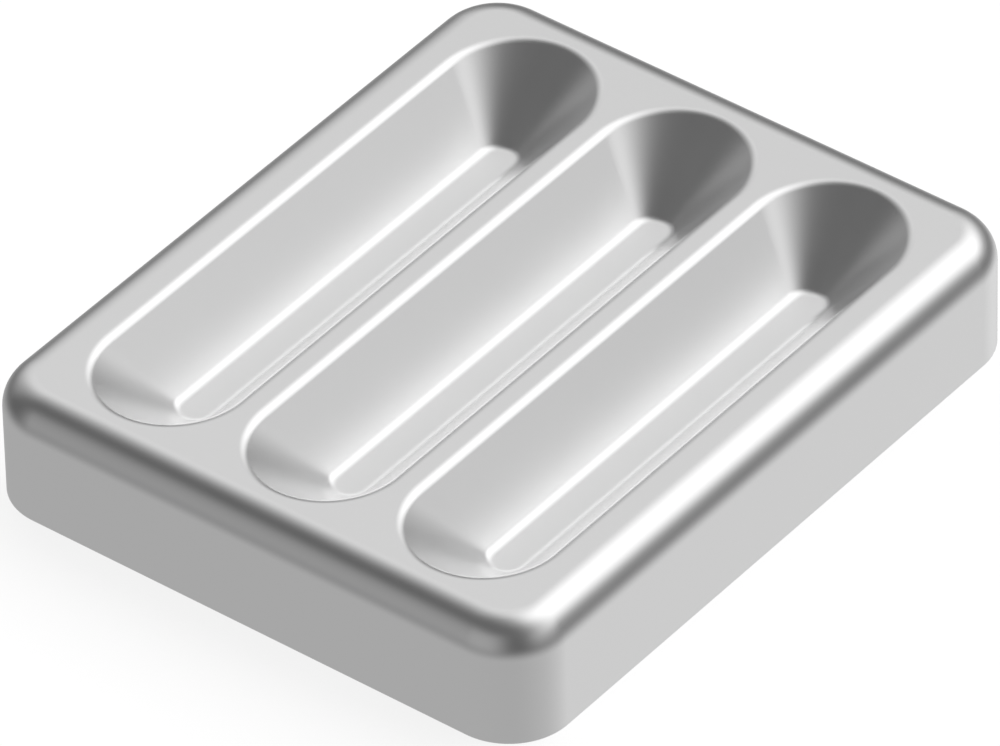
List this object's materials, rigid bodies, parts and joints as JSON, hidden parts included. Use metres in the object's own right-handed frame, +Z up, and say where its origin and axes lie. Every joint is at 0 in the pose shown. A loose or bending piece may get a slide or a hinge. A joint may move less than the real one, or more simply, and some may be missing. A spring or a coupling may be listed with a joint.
{
  "type": "instrument tray",
  "caption": "Low rectangular metal tray with rounded edges and side-by-side scooped pockets with sloping walls, for holding hand instruments; a thin shell, open underneath.",
  "frame": {"origin": "centre of the foot, on the surface that the tray stands on", "axes": "+Z up, +Y along the pockets and the long side, +X across the pockets"},
  "size_m": [0.1458, 0.1756, 0.03],
  "materials": {
    "tray_metal": "fine satin"
  },
  "bodies": {
    "root": {"tray": "tray_metal"}
  },
  "joints": []
}
